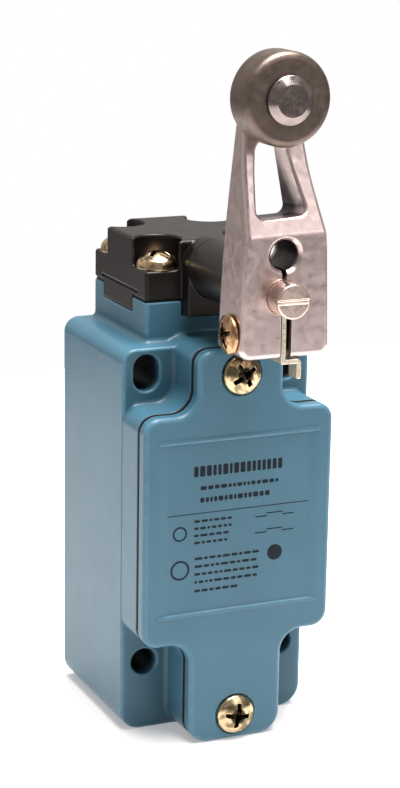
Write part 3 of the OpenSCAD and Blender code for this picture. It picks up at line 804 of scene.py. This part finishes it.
def cover(x, y, z):
    d = -y
    o = outline(x, z, 0, 20)
    # label field, which fades out at its sides, between two low rounded ribs
    dish = smooth((17.2 - np.abs(x)) / 2.6) * smooth((18.6 - z) / 0.6) * smooth((z + 17.3) / 0.6)
    f = ri(o, d - 44.2 + 0.3 * dish, 1.0)
    f = ri(f, 41.4 - d, 0.3)
    for zr in (18.3, -17.0):
        f = ru(f, ri(rr(x, z, -17.3, 17.3, zr - 0.55, zr + 0.55, 0.54), seg(d, 42.5, 44.35), 0.42), 0.12)
    # locating lip and the hollow behind the face
    lip = ri(rr(x, z, -16.65, 16.65, -20.05, 19.85, 2), seg(d, 39.5, 42), 0.25)
    f = np.minimum(f, lip)
    f = rs(f, ri(rr(x, z, -15.1, 15.1, -18.5, 18.3, 1), seg(d, 38.2, 42.5), 0.3), 0.2)
    for zs in (30.6, -39.1):
        c = disc(x, z, 0, 0, zs)
        f = rs(f, np.maximum(c - 4.25, 43.8 - d), 0.15)
        f = rs(f, np.maximum(c - 2.2, seg(d, 40, 46)), 0.15)
    return f


# the last field lays painted shade on the cover's back edge next to the gasket
piece = sculpt(
    cover, (-20, -44.35, -44.3), (20, -39.5, 35.5), 0.24, 150000,
    lambda x, y, z: -1.5 * smooth((42.0 + y) / 0.5) * smooth((-y - 41.0) / 0.2),
)
stand_in(build("cover_casting", *piece), "front_cover", ENAMEL)


# ------------------------------------------------------------------ head


def head(x, y, z, shell=False):
    d = -y
    v = d - 15
    u, w = np.abs(x), np.abs(v)
    f = ri(rr(x, v, -13.75, 13.75, -13.75, 13.75, 0.8), z - 54.2, 0.75)
    f = ri(f, 42.8 - z, 0.25)
    # tongues, and a shallow groove above the left one
    f = np.minimum(f, ri(tongue_plan(x, v, 0.0, 0.25), seg(z, 39.5, 45), 0.25))
    groove = ri(seg(z, 43.55, 44.05), np.maximum(seg(d, 5.6, 24.6), x + 13.4), 0.05)
    f = rs(f, groove, 0.12)
    # front boss and snout
    arch = np.minimum(disc(x, z, 6, 0, 48.9), rr(x, z, -6, 6, 39.5, 48.9, 0.2))
    f = ru(f, ri(arch, seg(d, 27.75, 32), 0.55), 0.5)
    f = ru(f, ri(disc(x, z, 6, 0, 48.9), seg(d, 29, 48.8), 0.6), 0.3)
    # corner notches that carry the screws
    notch = ri(ru(disc(u, w, 4.75, 9.6, 9.6), np.maximum(9.6 - u, 9.6 - w), 0.3), 48.4 - z, 0.6)
    f = rs(f, notch, 0.55)
    if shell:
        return f
    r = np.hypot(x, v)
    f = rs(f, ri(r - 9, seg(z, 30, 47.3), 0.3), 0.2)
    f = rs(f, ri(r - 7.6, seg(z, 47.2, 53), 0.3), 0.2)
    f = rs(f, np.maximum(disc(u, w, 2.2, 9.6, 9.6), seg(z, 30, 60)), 0.2)
    s = disc(x, z, 0, 0, 48.9)
    f = rs(f, np.maximum(s - 4.3, seg(d, 20, 52)), 0.2)
    f = rs(f, np.maximum(s - 3.6, seg(d, 2.4, 12)), 0.2)
    f = rs(f, np.maximum(s - 5, seg(d, 46.2, 52)), 0.25)
    return f


piece = sculpt(head, (-13.75, -48.8, 39.5), (13.75, -1.25, 54.9), 0.24, 150000, lambda x, y, z: head(x, y, z, True))
stand_in(build("head_casting", *piece), "head_body", HEAD_PAINT)


# ------------------------------------------------------------------ screws


def screw_field(hr, h, r, length, pitch=0.7, cross=True, shell=False):
    """Domed pan head on z = 0 with a tapered cross recess or a slot; threaded shank below."""
    rise = 0.62 * h
    rs_ = (hr * hr + rise * rise) / (2 * rise)

    def fn(x, y, z):
        rad = np.hypot(x, y)
        dome = np.sqrt(rad * rad + (z - (h - rs_)) ** 2) - rs_
        f = ri(ri(rad - hr, dome, 0.28 * h / 2), -z, 0.12)
        if shell:
            return np.minimum(f, rad - r)
        if cross:
            deep = h - z
            arm = hr * 0.70 - 0.40 * deep
            half = hr * 0.118 - 0.045 * deep
            bars = ru(
                ri(np.abs(x) - arm, np.abs(y) - half, 0.1),
                ri(np.abs(y) - arm, np.abs(x) - half, 0.1),
                0.10 * hr,
            )
            hub = rad - hr * 0.235 + 0.15 * deep
            bars = np.minimum(bars, hub)
            f = rs(f, ri(bars * 0.9, 0.12 * h - z, 0.15), 0.1)
        else:
            f = rs(f, ri(np.abs(y) - 0.13 * hr, 0.5 * h - z, 0.05), 0.1)
        t = z / pitch - np.arctan2(y, x) / (2 * math.pi)
        tooth = np.abs((t - np.floor(t)) * 2 - 1)
        depth = 0.3 * smooth((-0.9 - z) / 0.5)
        shank = ri((rad - r + depth * tooth) * 0.75, -length - z, 0.4)
        shank = np.maximum(shank, z - 0.2)
        return np.minimum(f, shank)

    return fn


def screw_mesh(hr, h, r, length, pitch=0.7, cross=True, target=16000, g=0.13):
    fn = screw_field(hr, h, r, length, pitch, cross)
    return sculpt(fn, (-hr, -hr, -length), (hr, hr, h), g, target, screw_field(hr, h, r, length, shell=True))


def placed(base, mats):
    """Copies of a mesh at several places, as one mesh."""
    V, T, Nn, Cv, Dp = base
    vs, ts, ns, cs, ds = [], [], [], [], []
    for k, M in enumerate(mats):
        R = np.array(M.to_3x3())
        o = np.array(M.translation)
        vs.append(V @ R.T + o)
        ns.append(Nn @ R.T)
        ts.append(T + k * len(V))
        cs.append(Cv)
        ds.append(Dp)
    return tuple(np.concatenate(a) for a in (vs, ts, ns, cs, ds))


def at_front(x, depth, z, turn):
    return (
        Matrix.Translation((x, -depth, z))
        @ Matrix.Rotation(math.radians(90), 4, "X")
        @ Matrix.Rotation(math.radians(turn), 4, "Z")
    )


cover_base = screw_mesh(4.0, 2.2, 1.97, 11.4)
piece = placed(cover_base, [at_front(0, 43.8, 30.6, 32), at_front(0, 43.8, -39.1, -8)])
stand_in(build("cover_screw_pair", *piece), "cover_screws", YELLOW)

head_base = screw_mesh(4.1, 3.4, 1.97, 12.2)
piece = placed(
    head_base,
    [
        Matrix.Translation((sx * 9.6, -15 + sy * 9.6, 48.4)) @ Matrix.Rotation(math.radians(t), 4, "Z")
        for sx, sy, t in ((-1, -1, 38), (1, -1, 12), (-1, 1, 64), (1, 1, -20))
    ],
)
stand_in(build("head_screw_set", *piece), "head_screws", YELLOW)

clamp_base = screw_mesh(3.8, 1.6, 1.97, 15.8)
piece = placed(
    clamp_base,
    [
        Matrix.Translation((-8.35, -56.3, 41.6))
        @ Matrix.Rotation(math.radians(-90), 4, "Y")
        @ Matrix.Rotation(math.radians(22), 4, "Z")
    ],
)
stand_in(build("clamp_screw_m4", *piece), "clamp_screw", CLAMP_ZINC)

# ------------------------------------------------------------------ lever


def lever(x, y, z, shell=False):
    d = -y
    # side view: clamp block, a ledge that dips a little to the left, an arm that thins upwards
    tilt = z - 0.03 * x
    front = ru(line(d, tilt, 61, 60.1, 54.2, 76.4), d - 54.2, 2.5)
    front = ri(d - 61, front, 0.22)
    rear = 50.4 - d
    # front view: block with a drafted right side, tapered arm and round boss
    rside = ru(line(x, z, 9.0, 60.1, 6.15, 74.2), x - 5.8, 3.0)
    rside = ri(line(x, z, 9.7, 39.7, 9.0, 60.1), rside, 0.6)
    lside = ri(-8.35 - x, line(x, z, -7.95, 71.6, -8.35, 60), 0.5)
    lside = ri(lside, line(x, z, -6.9, 78, -7.95, 71.6), 6.0)
    side = ri(np.maximum(lside, rside), 37.4 - z, 2.1)
    side = ru(ri(side, z - 84.75, 0.1), disc(x, z, 6.58, 0, 84.75), 0.8)
    f = ri(side, front, 1.05)
    f = ri(f, rear, 0.8)
    if shell:
        return f
    # window, its right wall and floor drafted
    win = ri(line(x, z, -3.388, 75.485, -4.738, 64.635), line(x + 0.1 * (55.5 - d), z, 4.8, 64.742, 2.65, 75.592))
    win = ri(win, 62.95 + 0.09 * (d - 55.5) + 0.05 * x - z, 1.9)
    win = ri(win, z - 76.8, 2.0)
    f = rs(f, win, 0.6)
    # shaft bore, relief hole with its countersink, slit
    f = rs(f, disc(x, z, 3.27, 0, 48.9), 0.25)
    c = disc(x, z, 0, 0.35, 56.6)
    f = rs(f, c - 2.75, 0.15)
    f = rs(f, (c - 2.7 - np.maximum(d - 60.25, 0)) * 0.75, 0.15)
    f = rs(f, np.maximum(seg(x, -0.2, 0.7), seg(z, 48.9, 57)), 0.2)
    f = rs(f, np.maximum(seg(x, -0.15, 1.9), z - 48.9), 0.2)
    # clamp screw: clearance hole and tapped hole
    q = disc(d, z, 0, 56.3, 41.6)
    f = rs(f, np.maximum(q - 2.2, x), 0.1)
    f = rs(f, np.maximum(q - 2.0, -x), 0.2)
    f = rs(f, disc(x, z, 2.27, 0, 84.75), 0.15)
    return f


def lever_depth(x, y, z):
    """Depth below the undrilled lever, for painted shade in its holes; in the open window, a share of the depth
    behind its front, for painted shade on the window walls.
    """
    low = -lever(x, y, z, True)
    window = (z > 61.9) & (z < 78)
    behind = -ru(line(-y, z, 61, 60.1, 54.2, 76.4), -y - 54.2, 2.5)
    shade = (0.12 + 0.30 * np.clip(behind, 0, 6)) * (0.45 + 0.55 * smooth((76.0 - z) / 12.0))
    return -np.where(window, np.where(low > 0.12, shade, 0.0), low)


piece = sculpt(lever, (-8.35, -61, 37.4), (9.7, -50.4, 91.35), 0.2, 150000, lever_depth)
stand_in(build("lever_casting", *piece), "lever_arm", LEVER_CAST)


def tab(x, y, z):
    d = -y

    def bar(u0, v0, u1, v1):
        px, pz = x - u0, z - v0
        bx, bz = u1 - u0, v1 - v0
        t = np.clip((px * bx + pz * bz) / (bx * bx + bz * bz), 0, 1)
        return np.hypot(px - t * bx, pz - t * bz)

    leaf = ri(bar(0.45, 45.6, 0.45, 36.65) - 0.45, seg(d, 51.1, 60.9), 0.12)
    c = np.minimum(bar(0.45, 40.0, 0.45, 36.95), bar(0.45, 36.95, 0.75, 36.65))
    c = np.minimum(c, bar(0.75, 36.65, 3.4, 36.65))
    c = np.minimum(c, bar(3.4, 36.65, 3.7, 36.35))
    c = np.minimum(c, bar(3.7, 36.35, 3.7, 33.0))
    f = np.minimum(leaf, ri(c - 0.45, seg(d, 57.4, 60.9), 0.12))
    f = ri(f, z - 45.4, 0.1)
    f = ri(f, 33.3 - z, 0.12)
    return rs(f, disc(d, z, 2.15, 56.3, 41.6), 0.08)


piece = sculpt(tab, (-0.05, -60.9, 33.3), (4.15, -51.1, 45.4), 0.14, 16000)
stand_in(build("clamp_tab", *piece), "clamp_plate", TAB)


# ------------------------------------------------------------------ shaft and roller


def shaft(x, y, z):
    d = -y
    r = disc(x, z, 0, 0, 48.9)
    f = ri(ri(r - 3.25, d - 65.6, 0.35), 21 - d, 0.2)
    f = np.minimum(f, ri(r - 2.25, seg(d, 3, 22), 0.3))
    # shallow driver groove across the front end
    f = rs(f, disc(d, z, 0.5, 65.8, 48.9), 0.06)
    f = rs(f, np.maximum(2.6 - r, seg(d, 22.4, 23.2)), 0.05)
    return rs(f, disc(d, z, 0.77, 15, 48.9), 0.1)


piece = sculpt(shaft, (-3.25, -65.6, 45.65), (3.25, -3, 52.15), 0.16, 40000)
stand_in(build("shaft_turned", *piece), "rotary_shaft", SHAFT)

RZ = 84.75
ob = turned(
    "roller_wheel_turned",
    [
        (3.05, 57.8, 0), (3.05, 54.6, 0.25), (4.6, 54.6, 0.1), (4.75, 54.75, 0.1), (7.6, 54.75, 0.15), (7.75, 54.6, 0.1),
        (8.65, 54.6, 0.8), (8.65, 61.6, 1.5), (3.05, 61.6, 0.25), (3.05, 57.8, 0),
    ],
    160, 0, RZ,
)
stand_in(ob, "roller", ROLLER)
ob = turned(
    "roller_bush_turned",
    [(2.27, 57, 0), (2.27, 54.25, 0.15), (3.0, 54.25, 0.15), (3.0, 61.75, 0.15), (2.27, 61.75, 0.15), (2.27, 57, 0)],
    96, 0, RZ,
)
stand_in(ob, "roller_bush", BRONZE)
ob = turned(
    "roller_pin_turned",
    [
        (0, 49.9, 0), (2.7, 49.9, 0.25), (3.18, 50.36, 0.08), (2.25, 50.42, 0.05), (2.25, 61.77, 0.08),
        (4.5, 61.77, 0.1), (4.5, 62.15, 0.25), (3.0, 63.2, 0.3), (0, 63.2, 0),
    ],
    128, 0, RZ,
)
stand_in(ob, "roller_pin", PIN)

# ------------------------------------------------------------------ springs


def spring(name, node, coils, wire, squash=None):
    vs, qs, cs, n0 = [], [], [], 0
    for path in coils:
        V_, Q_, C_ = tube(path, wire / 2)
        V_[:, 1] *= 1.0
        vs.append(V_)
        qs.append(Q_ + n0)
        cs.append(C_ + n0)
        n0 += len(V_)
    piece = build(name, np.concatenate(vs), [np.concatenate(qs), np.concatenate(cs)])
    piece.data.set_sharp_from_angle(angle=math.radians(40))
    stand_in(piece, node, SPRING)
    if squash:
        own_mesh(piece)
    return piece


spring(
    "return_spring_wire", "return_spring",
    [coil_path(6.8, 5.2, 0.9, 4.5) + (0, -15, 35.2)], 0.9,
    ("plunger_slide", (0, -0.015, 0.0352), 4.6 / 6.8),
)
spring(
    "carriage_spring_wire", "carriage_spring",
    [coil_path(6.0, 2.4, 0.55, 4.5) + (0, -15, -10.5)], 0.55,
    ("carriage_slide", (0, -0.015, -0.0105), 3.8 / 6.0),
)
spring(
    "bridge_spring_wires", "bridge_springs",
    [coil_path(2.3, 1.4, 0.3, 4) + (0, -15, 4.6), coil_path(3.2, 1.4, 0.3, 4) + (0, -15, -0.5)], 0.3,
)

# ------------------------------------------------------------------ CAD nodes that stay

KEEP = {
    "cover_gasket": (RUBBER, 0.12), "head_gasket": (RUBBER, 0.08), "front_bush": (BRONZE, 0.15),
    "rear_bush": (BRONZE, 0.12), "shaft_seal": (RUBBER, 0.08), "cam": (DARK, 0.15), "cam_pin": (BRIGHT, 0.1),
    "retaining_ring": (DARK, 0.08), "thrust_washer": (BRIGHT, 0.1), "follower": (BRIGHT, 0.15),
    "plunger_rod": (BRIGHT, 0.2), "plunger_guide": (BRONZE, 0.15), "plunger_seal": (RUBBER, 0.06),
    "switch_base": (DARK_MOULD, 0.15), "switch_cover": (DARK_MOULD, 0.15), "contact_carriage": (IVORY, 0.15),
    "nc_bridge": (BRASS, 0.08), "no_bridge": (BRASS, 0.08), "nc_terminals": (TERMINAL, 0.1),
    "no_terminals": (TERMINAL, 0.1), "fixed_tips": (SILVER, 0.06), "wire_clamps": (TERMINAL, 0.08),
    "ground_clamp": (YELLOW, 0.1),
}
for node, (material, width) in KEEP.items():
    ob = NODES[node]
    ob.data.materials.clear()
    ob.data.materials.append(material)
    w = ob.modifiers.new("weld", "WELD")
    w.merge_threshold = 2e-6
    b = ob.modifiers.new("bevel", "BEVEL")
    b.width = width / 1000
    b.segments = 2
    b.limit_method = "ANGLE"
    b.angle_limit = math.radians(38)
    b.harden_normals = False

small = screw_mesh(2.6, 1.8, 1.47, 7.0, 0.5, target=9000, g=0.11)
piece = placed(
    small,
    [at_front(s * 11.75, 21.85, z, 10 * s + 15) for s in (-1, 1) for z in (13.2, -8.8)],
)
stand_in(build("terminal_screw_set", *piece), "terminal_screws", TERMINAL)
small = screw_mesh(2.7, 1.9, 1.47, 16.6, 0.5, target=12000, g=0.12)
piece = placed(small, [at_front(s * 12, 18.6, 2, 30 * s) for s in (-1, 1)])
stand_in(build("block_screw_pair", *piece), "block_screws", BRIGHT)
small = screw_mesh(3.0, 1.9, 1.97, 2.9, 0.7, target=8000, g=0.12)
piece = placed(small, [at_front(-11.5, 4.1, -17, 20)])
stand_in(build("ground_screw_m4", *piece), "ground_screw", GREEN)

# ------------------------------------------------------------------ plain print on the label field


def strips(rows):
    """Thin raised strips of ink with round corners: rows of (x0, x1, z, height)."""
    vs, fs, n0 = [], [], 0
    for x0, x1, z, hgt in rows:
        r = min(hgt, x1 - x0, 0.5) / 2 * 0.98
        ring = []
        for cx, cz, a0 in ((x1 - r, z - hgt / 2 + r, -90), (x1 - r, z + hgt / 2 - r, 0), (x0 + r, z + hgt / 2 - r, 90), (x0 + r, z - hgt / 2 + r, 180)):
            ring += [(cx + r * math.cos(math.radians(a0 + t)), cz + r * math.sin(math.radians(a0 + t))) for t in (0, 30, 60, 90)]
        n = len(ring)
        for depth in (43.895, 43.925):
            vs += [(px, -depth, pz) for px, pz in ring]
        i = np.arange(n)
        fs.append(np.stack([n0 + i, n0 + (i + 1) % n, n0 + n + (i + 1) % n], 1))
        fs.append(np.stack([n0 + i, n0 + n + (i + 1) % n, n0 + n + i], 1))
        fs.append(np.stack([np.full(n - 2, n0 + n), n0 + n + np.arange(1, n - 1), n0 + n + np.arange(2, n)], 1))
        fs.append(np.stack([np.full(n - 2, n0), n0 + np.arange(2, n), n0 + np.arange(1, n - 1)], 1))
        n0 += 2 * n
    return np.array(vs), np.concatenate(fs)


rows = []
rng = np.random.default_rng(7)


def words(x0, x1, z, hgt, lo, hi, gap):
    x = x0
    while x < x1 - lo:
        w = min(float(rng.uniform(lo, hi)), x1 - x)
        rows.append((x, x + w, z, hgt))
        x += w + gap


words(-9.6, 9.2, 12.0, 2.1, 0.55, 1.15, 0.34)
words(-8.2, 8.4, 8.6, 0.75, 0.5, 1.3, 0.3)
words(-8.2, 6.6, 6.2, 1.0, 0.5, 1.2, 0.3)
rows.append((-15.6, 15.6, 3.6, 0.16))
for z in (2.0, 0.55, -0.9, -2.35):
    words(-9.4, -1.4, z, 0.5, 0.6, 1.6, 0.3)
for z in (-5.6, -7.2, -8.8, -10.4, -12.2):
    words(-9.2, 4.6 if z > -11 else 1.0, z, 0.52, 0.6, 1.7, 0.3)
# a plain contact symbol: two fixed points and a moving arm
for z in (1.5, -1.8):
    rows.append((3.6, 6.2, z, 0.22))
    rows.append((9.4, 12.0, z, 0.22))
    rows.append((6.0, 9.6, z + 0.55, 0.22))
V, T = strips(rows)


def hoop(cx, cz, r_in, r_out, n=40):
    """Thin raised ring of ink, as points and triangles."""
    a = np.linspace(0, 2 * math.pi, n, endpoint=False)
    vs = [(cx + r * c, -d, cz + r * q) for r, d in ((r_in, 43.895), (r_out, 43.895), (r_out, 43.925), (r_in, 43.925)) for c, q in zip(np.cos(a), np.sin(a))]
    i = np.arange(n)
    j = (i + 1) % n
    fs = []
    for k in range(4):
        m_ = (k + 1) % 4
        fs.append(np.stack([k * n + i, m_ * n + i, m_ * n + j], 1))
        fs.append(np.stack([k * n + i, m_ * n + j, k * n + j], 1))
    return np.array(vs), np.concatenate(fs)


for ring in ((-12.4, -0.2, 1.15, 1.5), (-12.3, -7.6, 1.6, 2.0), (8.0, -6.2, 0.02, 1.6)):
    rv, rt = hoop(*ring)
    T = np.concatenate([T, rt + len(V)])
    V = np.concatenate([V, rv])
ink = build("label_print", V, T, smooth_faces=False)
ink.data.materials.append(INK)
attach(ink, "case")

# ------------------------------------------------------------------ floor, light and world

FLOOR = Mat("floor_paper")
FLOOR.put("Base Color", FLOOR.mix(FLOOR.span(FLOOR.noise(90, 3), 0.3, 0.7), (0.66, 0.66, 0.66), (0.69, 0.69, 0.69)))
FLOOR.put("Roughness", FLOOR.span(FLOOR.noise(6, 3), 0.3, 0.7, 0.75, 0.85))
FLOOR.set(Emission_Color=(1, 1, 1, 1), Emission_Strength=0.30)
FLOOR.bump([(FLOOR.noise(0.8, 3), 0.03, 0.05)])
V = np.array([(-300, -300, -44.32), (300, -300, -44.32), (300, 260, -44.32), (-300, 260, -44.32)], float)
floor = build("floor", V, np.array([[0, 1, 2, 3]]))
floor.data.materials.append(FLOOR.m)


def softbox(name, place, target, w, h, watts, colour=(1, 1, 1)):
    L = bpy.data.lights.new(name, "AREA")
    L.shape = "RECTANGLE"
    L.size, L.size_y = w, h
    L.energy = watts
    L.color = colour
    o = bpy.data.objects.new(name, L)
    bpy.context.scene.collection.objects.link(o)
    o.location = place
    o.rotation_mode = "QUATERNION"
    o.rotation_quaternion = (Vector(target) - Vector(place)).to_track_quat("-Z", "Y")
    return o


MID = (0, -0.03, 0.02)
softbox("overhead", (0.08, -0.11, 0.85), MID, 0.60, 0.50, 21.0, (1.0, 0.97, 0.95))
softbox("front_card", (0.37, -0.80, 0.50), MID, 0.45, 0.45, 1.25, (1.0, 0.96, 0.94))

world = bpy.data.worlds.new("studio")
bpy.context.scene.world = world
world.use_nodes = True
wt = world.node_tree
wt.nodes.clear()
wo = wt.nodes.new("ShaderNodeOutputWorld")
mixer = wt.nodes.new("ShaderNodeMixShader")
seen = wt.nodes.new("ShaderNodeBackground")
seen.inputs["Color"].default_value = (1, 1, 1, 1)
seen.inputs["Strength"].default_value = 1.0
lit = wt.nodes.new("ShaderNodeBackground")
lit.inputs["Color"].default_value = (1.0, 0.94, 0.91, 1)
path = wt.nodes.new("ShaderNodeLightPath")
wc = wt.nodes.new("ShaderNodeTexCoord")
sx = wt.nodes.new("ShaderNodeSeparateXYZ")
wt.links.new(wc.outputs["Generated"], sx.inputs[0])


def band(source, a, b, c, d):
    n = wt.nodes.new("ShaderNodeMapRange")
    n.interpolation_type = "SMOOTHSTEP"
    for key, val in (("From Min", a), ("From Max", b), ("To Min", c), ("To Max", d)):
        n.inputs[key].default_value = val
    wt.links.new(source, n.inputs["Value"])
    return n.outputs["Result"]


above = band(sx.outputs["Y"], -0.5, 0.6, 0.30, 0.62)
below = band(sx.outputs["Y"], -0.5, 0.5, 0.21, 0.28)
blend = wt.nodes.new("ShaderNodeMix")
blend.data_type = "FLOAT"
wt.links.new(band(sx.outputs["Z"], -0.12, 0.12, 0.0, 1.0), blend.inputs[0])
wt.links.new(below, blend.inputs[2])
wt.links.new(above, blend.inputs[3])
wt.links.new(blend.outputs[0], lit.inputs["Strength"])
wt.links.new(path.outputs["Is Camera Ray"], mixer.inputs[0])
wt.links.new(lit.outputs[0], mixer.inputs[1])
wt.links.new(seen.outputs[0], mixer.inputs[2])
wt.links.new(mixer.outputs[0], wo.inputs["Surface"])

view = bpy.context.scene.view_settings
view.view_transform = "Standard"
view.look = "None"
view.exposure = 0.0
view.gamma = 1.0

# ------------------------------------------------------------------ scene update

bpy.context.view_layer.update()
